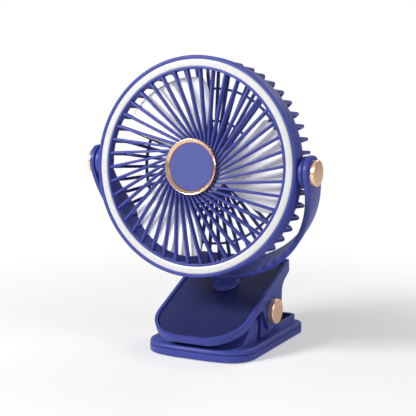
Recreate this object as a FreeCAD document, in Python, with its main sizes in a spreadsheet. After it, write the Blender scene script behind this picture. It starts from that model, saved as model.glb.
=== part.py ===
import FreeCAD, Part
import Sketcher
import math
import os
import re

# Clip-on camping fan with a ring light.
# The origin is the middle of the base's underside, with Z up and the fan facing along minus Y.
# The base and the pivoting clamp jaw carry a yoke on a leaning swivel, and the yoke carries the fan head.

Vector = FreeCAD.Vector

doc = FreeCAD.newDocument("camping_fan")
sheet = doc.addObject("Spreadsheet::Sheet", "dims")

DIMENSIONS = [
    # Lower jaw, which is also the base
    ("base_width", 86.0),
    ("base_length", 115.0),
    ("base_top", 9.5),
    ("base_bottom", 0.5),
    ("base_front_bow", 5.0),
    ("base_corner", 20.0),
    ("base_rear_corner", 8.0),
    ("base_edge_round", 2.4),
    ("base_foot_round", 1.0),
    ("groove_low", 5.6),
    ("groove_height", 0.9),
    ("groove_depth", 0.8),
    ("foot_thickness", 1.5),
    ("foot_inset", 5.0),
    ("foot_setback", 8.0),
    ("foot_corner", 14.0),
    ("foot_rear_corner", 5.0),
    ("tray_height", 15.0),
    ("tray_side", 5.0),
    ("tray_front", 13.0),
    ("tray_wall", 2.6),
    ("tray_rear_gap", 4.0),
    ("tray_corner", 6.0),
    ("ramp_setback", 7.5),
    ("ramp_crest_y", -25.0),
    ("ramp_crest", 27.6),
    ("ramp_rear", -14.0),
    ("ramp_hollow", 30.0),
    ("ramp_sag", 3.5),
    ("lug_thickness", 4.0),
    ("lug_clearance", 0.4),
    # Clamp pivot
    ("pin_y", 4.0),
    ("pin_height", 28.0),
    ("pin_diameter", 6.0),
    ("pin_fit", 0.05),
    ("clamp_cap_diameter", 19.4),
    ("clamp_cap_thickness", 4.6),
    ("cap_chamfer", 0.8),
    ("part_gap", 0.3),
    # Torsion spring round the clamp pin
    ("spring_wire", 1.6),
    ("spring_turns", 5.0),
    ("spring_half_length", 9.4),
    # Upper jaw
    ("jaw_width", 76.0),
    ("jaw_wall", 2.6),
    ("lean", 24.0),
    ("lip_thickness", 6.0),
    ("panel_front", -68.5),
    ("panel_rear", 38.0),
    ("panel_corner", 27.0),
    ("panel_inset", 1.2),
    ("panel_rim", 2.4),
    ("panel_thickness", 2.0),
    ("cavity_front", -27.0),
    ("ear_radius", 14.0),
    ("arch_foot", -31.5),
    ("arch_crown", -13.0),
    ("arch_top", 31.0),
    ("rear_wall_y", 22.7),
    ("rear_flare", 14.5),
    ("cover_side", 10.0),
    ("cover_low", 26.6),
    ("cover_high", 43.0),
    ("inlet_width", 9.4),
    ("inlet_height", 3.2),
    ("inlet_up", 30.0),
    ("inlet_depth", 3.6),
    ("inlet_wall", 0.5),
    ("grip_side", 12.0),
    ("grip_length", 20.0),
    ("grip_thickness", 1.2),
    # Swivel neck
    ("neck_y", 1.39387),
    ("neck_height", 46.90482),
    ("neck_space", 23.0),
    ("neck_diameter", 19.0),
    ("neck_skirt", 1.5),
    ("swivel_bolt_diameter", 8.0),
    ("bolt_head", 2.2),
    ("bolt_end", 6.0),
    ("nut_side", 3.0),
    ("nut_height", 4.0),
    ("washer_side", 3.2),
    ("washer_thickness", 0.8),
    # Yoke
    ("yoke_gap", 4.3),
    ("yoke_thickness", 4.0),
    ("yoke_width", 24.0),
    ("yoke_drop", 3.0),
    ("arm_radius", 12.5),
    ("pivot_diameter", 9.0),
    ("pivot_cap_diameter", 18.8),
    ("pivot_cap_thickness", 3.6),
    ("pivot_boss_diameter", 11.6),
    # Fan head
    ("head_tilt", 5.3),
    ("head_diameter", 160.0),
    ("rim_front", 13.0),
    ("rim_rear", -3.5),
    ("rim_wall", 2.4),
    ("light_margin", 2.6),
    ("light_width", 5.3),
    ("bezel_lip", 1.8),
    ("bezel_depth", 7.0),
    ("light_thickness", 2.0),
    ("front_ribs", 42.0),
    ("front_rib_width", 1.8),
    ("front_rib_depth", 4.6),
    ("front_rib_offset", 12.3),
    ("front_rib_phase", 13.2),
    ("front_dome", 3.0),
    ("hub_ring_outer", 20.9),
    ("hub_ring_inner", 17.5),
    ("rear_ribs", 50.0),
    ("rear_rib_width", 2.0),
    ("rear_rib_depth", 3.4),
    ("rear_rib_phase", 10.3),
    ("basket_rear", -21.0),
    ("basket_corner", 3.5),
    ("basket_taper", 1.4),
    ("rear_hub", 24.0),
    ("motor_diameter", 36.0),
    ("motor_front", -6.0),
    ("shaft_diameter", 3.0),
    ("blade_gap", 5.1),
    ("blade_hub", 20.0),
    ("blade_thickness", 1.6),
    ("blade_sweep", 70.0),
    ("blade_rise", 11.0),
    ("blade_count", 3.0),
    ("blade_phase", -3.0),
    # Electrics
    ("cell_diameter", 13.0),
    ("cell_clearance", 0.8),
    ("cell_spread", 13.4),
    ("board_thickness", 1.6),
    ("button_diameter", 8.0),
    ("button_spacing", 26.0),
    ("button_proud", 1.4),
    ("cell_y", 9.6),
    ("cell_up", 36.4),
]
# Sizes that follow from the ones above, so that what fits together stays together
FOLLOWING = [
    ("tray_width", "=base_width - 2 * tray_side"),
    ("ramp_front", "=-base_length / 2 + ramp_setback"),
    ("lug_gap", "=jaw_width - 2 * jaw_wall - 2 * lug_clearance"),
    ("ramp_width", "=lug_gap"),
    ("cover_width", "=jaw_width - 2 * cover_side"),
    ("grip_width", "=jaw_width - 2 * grip_side"),
    ("cell_length", "=lug_gap / 2 - lug_thickness - cell_clearance - cell_spread"),
    ("nut_corner", "=swivel_bolt_diameter / 2 + nut_side"),
    ("washer_diameter", "=swivel_bolt_diameter + 2 * washer_side"),
    ("panel_distance", "=head_diameter / 2 + neck_space"),
    ("head_y", "=neck_y - panel_distance * sin(lean * 1 deg)"),
    ("head_height", "=neck_height + panel_distance * cos(lean * 1 deg)"),
    ("yoke_inner", "=head_diameter / 2 + yoke_gap"),
    ("light_outer", "=head_diameter / 2 - light_margin"),
    ("light_inner", "=light_outer - light_width"),
    ("blade_radius", "=light_inner - blade_gap"),
]
for row, (alias, content) in enumerate(DIMENSIONS + FOLLOWING, start=1):
    sheet.set("A%d" % row, alias)
    sheet.setAlias("B%d" % row, alias)
    sheet.set("B%d" % row, str(content))
doc.recompute()
ALIASES = {alias for alias, content in DIMENSIONS + FOLLOWING}


def bound(text):
    """Put the sheet's name before each alias in an expression."""
    return re.sub(r"[a-z][a-z_]*", lambda word: "dims." + word.group() if word.group() in ALIASES else word.group(),
                  str(text))


def number(text):
    """The value that an expression has now."""
    value = sheet.evalExpression(bound(text).replace("dims.", ""))
    return float(getattr(value, "Value", value))


SUBPARTS = []
FRAMES = {
    "base": ("0", "0", "0", "0"),
    "pin": ("0", "pin_y", "pin_height", "0"),
    "head": ("0", "head_y", "head_height", "90 - head_tilt"),
    "swivel": ("0", "head_y", "head_height", "lean"),
}


def place(item, frame):
    """Bind an object's placement to its frame: the base, the clamp pin, the fan axis or the swivel axis."""
    across, along, up, turn = FRAMES[frame]
    item.Placement = FreeCAD.Placement(Vector(0, 0, 0), FreeCAD.Rotation(Vector(1, 0, 0), 1.0))
    item.setExpression("Placement.Base.x", bound(across))
    item.setExpression("Placement.Base.y", bound(along))
    item.setExpression("Placement.Base.z", bound(up))
    item.setExpression("Placement.Rotation.Angle", bound(turn))


def new_body(label, frame):
    body = doc.addObject("PartDesign::Body", label)
    body.Label = label
    place(body, frame)
    SUBPARTS.append(body)
    return body


def new_sketch(body, plane, offset="0", turn="0"):
    """A sketch on one of the body's own planes, moved along its normal and turned about its upright."""
    sketch = body.newObject("Sketcher::SketchObject", body.Name + "_sketch")
    role = [item for item in body.Origin.OriginFeatures if item.Role == plane + "_Plane"][0]
    sketch.AttachmentSupport = [(role, "")]
    sketch.MapMode = "FlatFace"
    if turn != "0":
        sketch.AttachmentOffset = FreeCAD.Placement(Vector(0, 0, 0), FreeCAD.Rotation(Vector(0, 1, 0), 1.0))
        sketch.setExpression("AttachmentOffset.Rotation.Angle", bound(turn))
        sketch.setExpression("AttachmentOffset.Base.x", bound("(%s) * sin(%s)" % (offset, turn)))
        sketch.setExpression("AttachmentOffset.Base.z", bound("(%s) * cos(%s)" % (offset, turn)))
    elif offset != "0":
        sketch.setExpression("AttachmentOffset.Base.z", bound(offset))
    return sketch


def fix_point(sketch, geometry, position, across, up):
    """Tie a point of the sketch to the origin by two bound distances."""
    for kind, text in (("DistanceX", across), ("DistanceY", up)):
        index = sketch.addConstraint(Sketcher.Constraint(kind, -1, 1, geometry, position, number(text)))
        sketch.setExpression("Constraints[%d]" % index, bound(text))


def outline(sketch, corners):
    """A closed outline through bound corners, each (across, up) or (across, up, radius)."""
    spots = [Vector(number(corner[0]), number(corner[1]), 0) for corner in corners]
    count = len(corners)
    starts, ends, arcs = [], [], {}
    for index, corner in enumerate(corners):
        here = spots[index]
        starts.append(here)
        ends.append(here)
        if len(corner) == 3:
            back = (spots[index - 1] - here).normalize()
            ahead = (spots[(index + 1) % count] - here).normalize()
            half = back.getAngle(ahead) / 2
            radius = number(corner[2])
            reach = radius / math.tan(half)
            centre = here + (back + ahead).normalize() * (radius / math.sin(half))
            middle = here + (back + ahead).normalize() * (radius / math.sin(half) - radius)
            starts[index] = here + ahead * reach
            ends[index] = here + back * reach
            arcs[index] = (ends[index], middle, starts[index], centre)
    lines = []
    for index in range(count):
        lines.append(sketch.addGeometry(Part.LineSegment(starts[index], ends[(index + 1) % count]), False))
    for index, corner in enumerate(corners):
        before, after = lines[index - 1], lines[index]
        if index not in arcs:
            sketch.addConstraint(Sketcher.Constraint("Coincident", before, 2, after, 1))
            fix_point(sketch, after, 1, corner[0], corner[1])
            continue
        first, middle, last, centre = arcs[index]
        arc = sketch.addGeometry(Part.Arc(first, middle, last), False)
        near_first = (sketch.getPoint(arc, 1) - first).Length < (sketch.getPoint(arc, 2) - first).Length
        sketch.addConstraint(Sketcher.Constraint("Tangent", before, 2, arc, 1 if near_first else 2))
        sketch.addConstraint(Sketcher.Constraint("Tangent", after, 1, arc, 2 if near_first else 1))
        turn = sketch.addConstraint(Sketcher.Constraint("Radius", arc, number(corner[2])))
        sketch.setExpression("Constraints[%d]" % turn, bound(corner[2]))
        point = sketch.addGeometry(Part.Point(spots[index]), True)
        sketch.addConstraint(Sketcher.Constraint("PointOnObject", point, 1, before))
        sketch.addConstraint(Sketcher.Constraint("PointOnObject", point, 1, after))
        fix_point(sketch, point, 1, corner[0], corner[1])


def circle(sketch, across, up, radius):
    index = sketch.addGeometry(Part.Circle(Vector(number(across), number(up), 0), Vector(0, 0, 1), number(radius)))
    turn = sketch.addConstraint(Sketcher.Constraint("Radius", index, number(radius)))
    sketch.setExpression("Constraints[%d]" % turn, bound(radius))
    fix_point(sketch, index, 3, across, up)


def revolve(body, corners, groove=False, plane="XZ", axis="V_Axis"):
    """Turn a closed profile round the body's own axis."""
    sketch = new_sketch(body, plane)
    outline(sketch, corners)
    kind = "PartDesign::Groove" if groove else "PartDesign::Revolution"
    feature = body.newObject(kind, body.Name + "_turn")
    feature.Profile = sketch
    feature.ReferenceAxis = (sketch, [axis])
    feature.Angle = 360
    sketch.Visibility = False
    return feature


def pad(body, plane, corners, length, offset="0", turn="0", middle=False, reverse=False, cut=False, holes=()):
    """Push an outline out of a plane, or cut with it."""
    sketch = new_sketch(body, plane, offset, turn)
    if corners:
        outline(sketch, corners)
    for across, up, radius in holes:
        circle(sketch, across, up, radius)
    feature = body.newObject("PartDesign::Pocket" if cut else "PartDesign::Pad", body.Name + "_push")
    feature.Profile = sketch
    feature.setExpression("Length", bound(length))
    feature.Midplane = middle
    feature.Reversed = reverse
    return feature


def ring_pattern(body, features, count):
    """Repeat features round the body's own Z axis."""
    pattern = body.newObject("PartDesign::PolarPattern", body.Name + "_ring")
    pattern.Originals = features
    axis = [item for item in body.Origin.OriginFeatures if item.Role == "Z_Axis"][0]
    pattern.Axis = (axis, [""])
    pattern.Angle = 360
    pattern.setExpression("Occurrences", bound(count))
    body.Tip = pattern
    return pattern


def turned_piece(label, frame, corners, **options):
    body = new_body(label, frame)
    revolve(body, corners, **options)
    return body


def shape_piece(label, frame, shape):
    """A piece whose form needs its own code: its shape is made in its frame, then placed."""
    item = doc.addObject("Part::Feature", label)
    item.Label = label
    item.Shape = shape
    place(item, frame)
    SUBPARTS.append(item)
    return item


def size(alias):
    return float(sheet.get(alias))


def chosen_edges(shape, test):
    return ["Edge%d" % (index + 1) for index, edge in enumerate(shape.Edges) if test(edge)]


def round_edges(body, feature, test, radius):
    """Round the feature's edges that pass a test."""
    doc.recompute()
    names = chosen_edges(feature.Shape, test)
    fillet = body.newObject("PartDesign::Fillet", body.Name + "_round")
    fillet.Base = (feature, names)
    fillet.setExpression("Radius", bound(radius))
    return fillet


def base_outline(inset):
    """The base plate's outline with its bowed front, drawn in by an inset."""
    half, front = "(base_width / 2 - (%s))" % inset, "(base_length / 2 - (%s))" % inset
    corner = "base_corner - (%s)" % inset
    return [("-" + half, "-" + front + " + base_front_bow", corner),
            ("-base_width / 5", "-" + front, "base_width"),
            ("base_width / 5", "-" + front, "base_width"),
            (half, "-" + front + " + base_front_bow", corner),
            (half, front, "base_rear_corner - (%s)" % inset),
            ("-" + half, front, "base_rear_corner - (%s)" % inset)]


def foot_outline(gap):
    """The rubber foot's outline, grown by a gap for the recess that holds it."""
    half, front = "(base_width / 2 - foot_inset + %s)" % gap, "(base_length / 2 - foot_inset + %s)" % gap
    return [("-" + half, "-" + front + " + foot_setback", "foot_corner"),
            (half, "-" + front + " + foot_setback", "foot_corner"),
            (half, front, "foot_rear_corner"),
            ("-" + half, front, "foot_rear_corner")]


def tray_outline(inset):
    """The rear tray's outline, drawn in by its wall."""
    half, rear = "(tray_width / 2 - %s)" % inset, "base_length / 2 - tray_rear_gap - %s" % inset
    return [("-" + half, "tray_front + " + inset, "tray_corner - " + inset),
            (half, "tray_front + " + inset, "tray_corner - " + inset),
            (half, rear, "tray_corner - " + inset),
            ("-" + half, rear, "tray_corner - " + inset)]


# Lower jaw: the base plate with its bowed front, the rear tray, the grip ramp and the pivot lugs
def make_lower_jaw():
    body = new_body("lower_jaw", "base")
    plate = pad(body, "XY", base_outline("0"), "base_top - base_bottom", offset="base_bottom")
    top = number("base_top")
    low = number("base_bottom")
    rounded = round_edges(body, plate, lambda edge: edge.BoundBox.ZLength < 0.01
                          and abs(edge.BoundBox.ZMin - top) < 0.01, "base_edge_round")
    round_edges(body, rounded, lambda edge: edge.BoundBox.ZLength < 0.01
                and abs(edge.BoundBox.ZMin - low) < 0.01, "base_foot_round")
    groove = new_sketch(body, "XY", "groove_low")
    outline(groove, base_outline("-5"))
    outline(groove, base_outline("groove_depth"))
    line = body.newObject("PartDesign::Pocket", "base_groove")
    line.Profile = groove
    line.setExpression("Length", bound("groove_height"))
    line.Reversed = True
    pad(body, "XY", foot_outline("part_gap"), "foot_thickness - base_bottom", offset="base_bottom", cut=True,
        reverse=True)
    pad(body, "XY", tray_outline("0"), "tray_height - base_top + 1", offset="base_top - 1")
    pad(body, "XY", tray_outline("tray_wall"), "tray_height - base_top + 4", offset="base_top - 4", cut=True,
        reverse=True)
    pad(body, "YZ", [
        ("ramp_front", "base_top - 2"),
        ("ramp_front", "base_top + 0.3"),
        ("ramp_front * 0.5 + ramp_crest_y * 0.5", "base_top + ramp_sag", "ramp_hollow"),
        ("ramp_crest_y + 1", "ramp_crest", "2.5"),
        ("ramp_rear", "ramp_crest - 2.5", "6"),
        ("ramp_rear - 3", "base_top - 2"),
    ], "ramp_width", middle=True)
    for side in ("", "-"):
        shift = "lug_gap / 2 - lug_thickness" if side == "" else "-lug_gap / 2"
        pad(body, "YZ", [
            ("pin_y - 15", "base_top - 2"),
            ("pin_y - 11", "pin_height + 9", "11"),
            ("pin_y + 11", "pin_height + 9", "9"),
            ("pin_y + 13", "base_top - 2"),
        ], "lug_thickness", offset=shift)
    pad(body, "YZ", [], "2 * jaw_width", middle=True, cut=True,
        holes=[("pin_y", "pin_height", "pin_diameter / 2 + 0.02")])


make_lower_jaw()

foot = new_body("base_foot_pad", "base")
pad(foot, "XY", foot_outline("0"), "foot_thickness")

# Clamp pin and its two round gilt caps
pin_end = "jaw_width / 2 + part_gap"
turned_piece("clamp_pin", "pin", [
    ("-(" + pin_end + ")", "0"),
    (pin_end, "0"),
    (pin_end, "pin_diameter / 2"),
    ("-(" + pin_end + ")", "pin_diameter / 2"),
], axis="H_Axis")
for label, sign in (("clamp_cap_right", ""), ("clamp_cap_left", "-")):
    turned_piece(label, "pin", [
        (sign + "(" + pin_end + ")", "0"),
        (sign + "(" + pin_end + ")", "clamp_cap_diameter / 2"),
        (sign + "(" + pin_end + " + clamp_cap_thickness - cap_chamfer)", "clamp_cap_diameter / 2"),
        (sign + "(" + pin_end + " + clamp_cap_thickness)", "clamp_cap_diameter / 2 - cap_chamfer"),
        (sign + "(" + pin_end + " + clamp_cap_thickness)", "0"),
    ], axis="H_Axis")


# Upper jaw: a leaning wedge with cheeks round the pin and a throat arch in front of it.
# Its frame has Z square to the leaning panel, so base sizes are turned into that frame here.
def leaning(along, up):
    """The leaning frame's across and up of a spot given in the base's frame."""
    return ("(%s - head_y) * cos(lean) + (%s - head_height) * sin(lean)" % (along, up),
            "(head_y - (%s)) * sin(lean) + (%s - head_height) * cos(lean)" % (along, up))


def make_upper_jaw():
    body = new_body("upper_jaw", "swivel")
    low = "-panel_distance - lip_thickness"
    pad(body, "YZ", [
        ("panel_front - panel_rim", "-panel_distance"),
        ("panel_front - panel_rim + 1", low),
        ("arch_foot", low),
        leaning("arch_crown", "arch_top + 1.5") + ("4",),
        leaning("pin_y - 5", "pin_height - ear_radius") + ("5",),
        leaning("pin_y + 10", "pin_height - ear_radius") + ("9",),
        leaning("rear_wall_y", "pin_height + 2") + ("6",),
        leaning("rear_wall_y", "pin_height + 17") + ("12",),
        leaning("rear_wall_y + rear_flare", "pin_height + 25") + ("3",),
        ("panel_rear", "-panel_distance"),
    ], "jaw_width", middle=True)
    half = "jaw_width / 2"
    far = "jaw_width"
    sketch = new_sketch(body, "XY", "-panel_distance + 5")
    outline(sketch, [("-" + far, "panel_front - 30"), (far, "panel_front - 30"), (far, "panel_rear + 30"),
                     ("-" + far, "panel_rear + 30")])
    outline(sketch, [("-" + half, "panel_front - panel_rim", "panel_corner + panel_rim"),
                     (half, "panel_front - panel_rim", "panel_corner + panel_rim"),
                     (half, "panel_rear + 20"), ("-" + half, "panel_rear + 20")])
    trim = body.newObject("PartDesign::Pocket", "jaw_trim")
    trim.Profile = sketch
    trim.setExpression("Length", bound("panel_distance"))
    pad(body, "XY", panel_outline("0"), "panel_inset + panel_thickness", offset="-panel_distance", cut=True)
    pad(body, "YZ", [
        ("cavity_front", "-panel_distance - panel_inset - panel_thickness - jaw_wall"),
        ("panel_rear - 9", "-panel_distance - panel_inset - panel_thickness - jaw_wall", "2"),
        leaning("rear_wall_y - jaw_wall", "pin_height + 17") + ("4",),
        leaning("rear_wall_y - jaw_wall", "0"),
        ("cavity_front", "-panel_distance - 60"),
    ], "jaw_width - 2 * jaw_wall", middle=True, cut=True)
    pad(body, "YZ", [
        leaning("rear_wall_y - jaw_wall - 1", "cover_low"),
        leaning("rear_wall_y + 2", "cover_low"),
        leaning("rear_wall_y + 2", "cover_high"),
        leaning("rear_wall_y - jaw_wall - 1", "cover_high"),
    ], "cover_width", middle=True, cut=True)
    across, up = leaning("pin_y", "pin_height")
    pad(body, "YZ", [], "2 * jaw_width", middle=True, cut=True, holes=[(across, up, "pin_diameter / 2 + pin_fit")])
    pad(body, "XY", [], "panel_inset + panel_thickness + jaw_wall + 2", offset="-panel_distance + 1", cut=True,
        holes=[("0", "0", "swivel_bolt_diameter / 2 + pin_fit")])


def panel_outline(gap):
    half = "jaw_width / 2 - panel_rim - %s" % gap
    return [("-(%s)" % half, "panel_front + %s" % gap, "panel_corner"),
            (half, "panel_front + %s" % gap, "panel_corner"),
            (half, "panel_rear - panel_rim - %s" % gap, "5"),
            ("-(%s)" % half, "panel_rear - panel_rim - %s" % gap, "5")]


make_upper_jaw()

panel = new_body("top_panel", "swivel")
pad(panel, "XY", panel_outline("0.15"), "panel_thickness", offset="-panel_distance - panel_inset", reverse=True)
pad(panel, "XY", [], "panel_thickness + 2", offset="-panel_distance - panel_inset + 1", cut=True,
    holes=[("0", "0", "swivel_bolt_diameter / 2 + pin_fit")])

grip = new_body("upper_grip_pad", "swivel")
pad(grip, "XY", [
    ("-grip_width / 2", "panel_front + 4", "3"),
    ("grip_width / 2", "panel_front + 4", "3"),
    ("grip_width / 2", "panel_front + 4 + grip_length", "2"),
    ("-grip_width / 2", "panel_front + 4 + grip_length", "2"),
], "grip_thickness", offset="-panel_distance - lip_thickness", reverse=True)

def inlet_outline(inset):
    """The charging inlet's rounded slot, drawn in by an inset."""
    half, tall = "(inlet_width / 2 - %s)" % inset, "(inlet_height / 2 - %s)" % inset
    return [("-" + half, "inlet_up - " + tall, tall + " * 0.9"), (half, "inlet_up - " + tall, tall + " * 0.9"),
            (half, "inlet_up + " + tall, tall + " * 0.9"), ("-" + half, "inlet_up + " + tall, tall + " * 0.9")]


# Rear cover with the charging inlet and the two push buttons
rear_face = "-rear_wall_y"
button_up = "pin_height + 9"
cover = new_body("rear_cover", "base")
pad(cover, "XZ", [
    ("-cover_width / 2 + 0.1", "cover_low + 0.1", "3"),
    ("cover_width / 2 - 0.1", "cover_low + 0.1", "3"),
    ("cover_width / 2 - 0.1", "cover_high - 0.1", "3"),
    ("-cover_width / 2 + 0.1", "cover_high - 0.1", "3"),
], "jaw_wall", offset=rear_face)
pad(cover, "XZ", inlet_outline("0"), "jaw_wall + 2", offset=rear_face + " - 1", cut=True, reverse=True)
pad(cover, "XZ", [], "jaw_wall + 2", offset=rear_face + " - 1", cut=True, reverse=True,
    holes=[("button_spacing / 2", button_up, "button_diameter / 2 + part_gap"),
           ("-button_spacing / 2", button_up, "button_diameter / 2 + part_gap"),
           ("0", button_up + " + 1", "1.5")])

for label, sign in (("power_button", ""), ("light_button", "-")):
    button = new_body(label, "base")
    centre = sign + "button_spacing / 2"
    pad(button, "XZ", [], "jaw_wall + button_proud + 0.4", offset=rear_face + " - button_proud",
        holes=[(centre, button_up, "button_diameter / 2")])
    pad(button, "XZ", [], "0.5", offset=rear_face + " + jaw_wall + 0.1",
        holes=[(centre, button_up, "button_diameter / 2 + 1")])

lens = new_body("indicator_lens", "base")
pad(lens, "XZ", [], "jaw_wall", offset=rear_face, holes=[("0", button_up + " + 1", "1.4")])

inlet = new_body("charging_inlet", "base")
pad(inlet, "XZ", inlet_outline("0.2"), "inlet_depth", offset=rear_face + " + part_gap")
pad(inlet, "XZ", inlet_outline("(0.2 + inlet_wall)"), "inlet_depth - inlet_wall", offset=rear_face + " + part_gap",
    cut=True, reverse=True)

board = new_body("control_board", "base")
pad(board, "XZ", [("-cover_width / 2 + 3", "cover_low + 2"), ("cover_width / 2 - 3", "cover_low + 2"),
                  ("cover_width / 2 - 3", "cover_high - 2"), ("-cover_width / 2 + 3", "cover_high - 2")],
    "board_thickness", offset=rear_face + " + 4.0")

cell = new_body("battery_cells", "base")
pad(cell, "YZ", [], "cell_length", offset="cell_spread", holes=[("cell_y", "cell_up", "cell_diameter / 2")])
mirror = cell.newObject("PartDesign::Mirrored", "cell_pair")
mirror.Originals = [cell.Tip]
mirror.MirrorPlane = ([item for item in cell.Origin.OriginFeatures if item.Role == "YZ_Plane"][0], [""])
cell.Tip = mirror

# Yoke: a leaning fork with round arm ends and a swivel neck
yoke_outer = "(yoke_inner + yoke_thickness)"
yoke = new_body("yoke", "swivel")
fork = pad(yoke, "XZ", [
    ("-" + yoke_outer, "arm_radius"),
    ("-" + yoke_outer, "-yoke_drop - " + yoke_outer, yoke_outer + " - 0.5"),
    (yoke_outer, "-yoke_drop - " + yoke_outer, yoke_outer + " - 0.5"),
    (yoke_outer, "arm_radius"),
    ("yoke_inner", "arm_radius"),
    ("yoke_inner", "-yoke_drop - yoke_inner", "yoke_inner - 0.5"),
    ("-yoke_inner", "-yoke_drop - yoke_inner", "yoke_inner - 0.5"),
    ("-yoke_inner", "arm_radius"),
], "yoke_width", middle=True)
arm_top = number("arm_radius")
arm_half = number("yoke_width") / 2
rounded = round_edges(yoke, fork, lambda edge: abs(edge.BoundBox.ZMin - arm_top) < 0.01
                      and edge.BoundBox.ZLength < 0.01 and edge.BoundBox.YLength < 0.01
                      and abs(abs(edge.BoundBox.YMin) - arm_half) < 0.01, "yoke_width / 2 - 0.2")
revolve(yoke, [
    ("0", "-yoke_drop - yoke_inner - yoke_thickness / 2"),
    ("neck_diameter / 2", "-yoke_drop - yoke_inner - yoke_thickness / 2"),
    ("neck_diameter / 2", "-panel_distance + 1"),
    ("neck_diameter / 2 + neck_skirt", "-panel_distance - panel_inset + part_gap"),
    ("0", "-panel_distance - panel_inset + part_gap"),
])
pad(yoke, "XY", [], "8", offset="-yoke_inner - yoke_drop + 8", cut=True,
    holes=[("0", "0", "swivel_bolt_diameter / 2 + 4")])
pad(yoke, "XY", [], "panel_distance", offset="-yoke_inner + 5", cut=True,
    holes=[("0", "0", "swivel_bolt_diameter / 2")])
pad(yoke, "YZ", [], "2 * head_diameter", middle=True, cut=True, holes=[("0", "0", "pivot_diameter / 2")])

# Swivel bolt, with its washer and nut under the jaw's roof
bolt_low = "(-panel_distance - panel_inset - panel_thickness - jaw_wall - bolt_end)"
washer_top = "(%s + bolt_end - 0.2)" % bolt_low
turned_piece("swivel_bolt", "swivel", [
    ("0", "-yoke_drop - yoke_inner + bolt_head"),
    ("swivel_bolt_diameter / 2 + 2", "-yoke_drop - yoke_inner + bolt_head"),
    ("swivel_bolt_diameter / 2 + 3", "-yoke_drop - yoke_inner"),
    ("swivel_bolt_diameter / 2", "-yoke_drop - yoke_inner"),
    ("swivel_bolt_diameter / 2", bolt_low),
    ("0", bolt_low),
])
turned_piece("swivel_washer", "swivel", [
    ("swivel_bolt_diameter / 2 + 0.1", washer_top + " - washer_thickness"),
    ("washer_diameter / 2", washer_top + " - washer_thickness"),
    ("washer_diameter / 2", washer_top),
    ("swivel_bolt_diameter / 2 + 0.1", washer_top),
])
nut = new_body("swivel_nut", "swivel")
pad(nut, "XY", [("nut_corner", "0"), ("nut_corner / 2", "nut_corner * sin(60)"),
                ("-nut_corner / 2", "nut_corner * sin(60)"), ("-nut_corner", "0"),
                ("-nut_corner / 2", "-nut_corner * sin(60)"), ("nut_corner / 2", "-nut_corner * sin(60)")],
    "nut_height", offset=washer_top + " - washer_thickness - nut_height")
pad(nut, "XY", [], "nut_height + 2", offset=bolt_low, cut=True, reverse=True,
    holes=[("0", "0", "swivel_bolt_diameter / 2")])

for side, sign in (("right", ""), ("left", "-")):
    turned_piece("pivot_cap_" + side, "head", [
        (sign + yoke_outer, "0"),
        (sign + yoke_outer, "pivot_cap_diameter / 2"),
        (sign + "(yoke_inner + yoke_thickness + pivot_cap_thickness - cap_chamfer)", "pivot_cap_diameter / 2"),
        (sign + "(yoke_inner + yoke_thickness + pivot_cap_thickness)", "pivot_cap_diameter / 2 - cap_chamfer"),
        (sign + "(yoke_inner + yoke_thickness + pivot_cap_thickness)", "0"),
    ], axis="H_Axis")
    turned_piece("pivot_bolt_" + side, "head", [
        (sign + yoke_outer, "0"),
        (sign + yoke_outer, "pivot_diameter / 2"),
        (sign + "yoke_inner", "pivot_diameter / 2"),
        (sign + "(yoke_inner - part_gap)", "pivot_diameter / 2 - 1.5"),
        (sign + "(head_diameter / 2 - rim_wall)", "pivot_diameter / 2 - 1.5"),
        (sign + "(head_diameter / 2 - rim_wall)", "0"),
    ], axis="H_Axis")

# Fan head: the rim with its pivot bosses
rim = new_body("rim_housing", "head")
revolve(rim, [
    ("head_diameter / 2 - rim_wall", "rim_front - bezel_depth"),
    ("head_diameter / 2 - 0.4", "rim_front - bezel_depth"),
    ("head_diameter / 2 - 0.4", "rim_rear + 1"),
    ("head_diameter / 2 - 1.4", "rim_rear"),
    ("head_diameter / 2 - rim_wall", "rim_rear"),
])
for sign, away in (("", False), ("-", True)):
    pad(rim, "YZ", [], "yoke_inner - part_gap - head_diameter / 2 + 0.8",
        offset=sign + "(head_diameter / 2 - 0.8)", reverse=away,
        holes=[("0", "0", "pivot_boss_diameter / 2")])
pad(rim, "YZ", [], "2 * head_diameter", middle=True, cut=True, holes=[("0", "0", "pivot_diameter / 2 - 1.5 + pin_fit")])

# Front grille: the bezel channel, the swirled ribs and the hub seat in one moulding
front = new_body("front_grille", "head")
floor = "rim_front - bezel_depth"
revolve(front, [
    ("light_inner - bezel_lip", floor),
    ("head_diameter / 2", floor),
    ("head_diameter / 2", "rim_front - 0.8"),
    ("head_diameter / 2 - 0.8", "rim_front"),
    ("light_outer + 0.1", "rim_front"),
    ("light_outer + 0.1", floor + " + 1.6"),
    ("light_inner - 0.1", floor + " + 1.6"),
    ("light_inner - 0.1", "rim_front - 0.4"),
    ("light_inner - bezel_lip", "rim_front - 0.4"),
])
reach = "sqrt(light_inner * light_inner - front_rib_offset * front_rib_offset)"
start = "sqrt(hub_ring_inner * hub_ring_inner - front_rib_offset * front_rib_offset)"
rib = pad(front, "XZ", [
    (start, "rim_front + front_dome - front_rib_depth - 1.6"),
    (start, "rim_front + front_dome - 1.6"),
    ("(%s) * 0.5 + (%s) * 0.5" % (start, reach), "rim_front + front_dome * 0.6 - 1"),
    (reach + " - bezel_lip + 0.6", "rim_front - 1"),
    (reach + " - bezel_lip + 0.6", "rim_front - front_rib_depth - 1"),
    ("(%s) * 0.5 + (%s) * 0.5" % (start, reach), "rim_front + front_dome * 0.6 - front_rib_depth - 1"),
], "front_rib_width", offset="front_rib_offset", turn="front_rib_phase", middle=True)
ring_pattern(front, [rib], "front_ribs")
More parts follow.
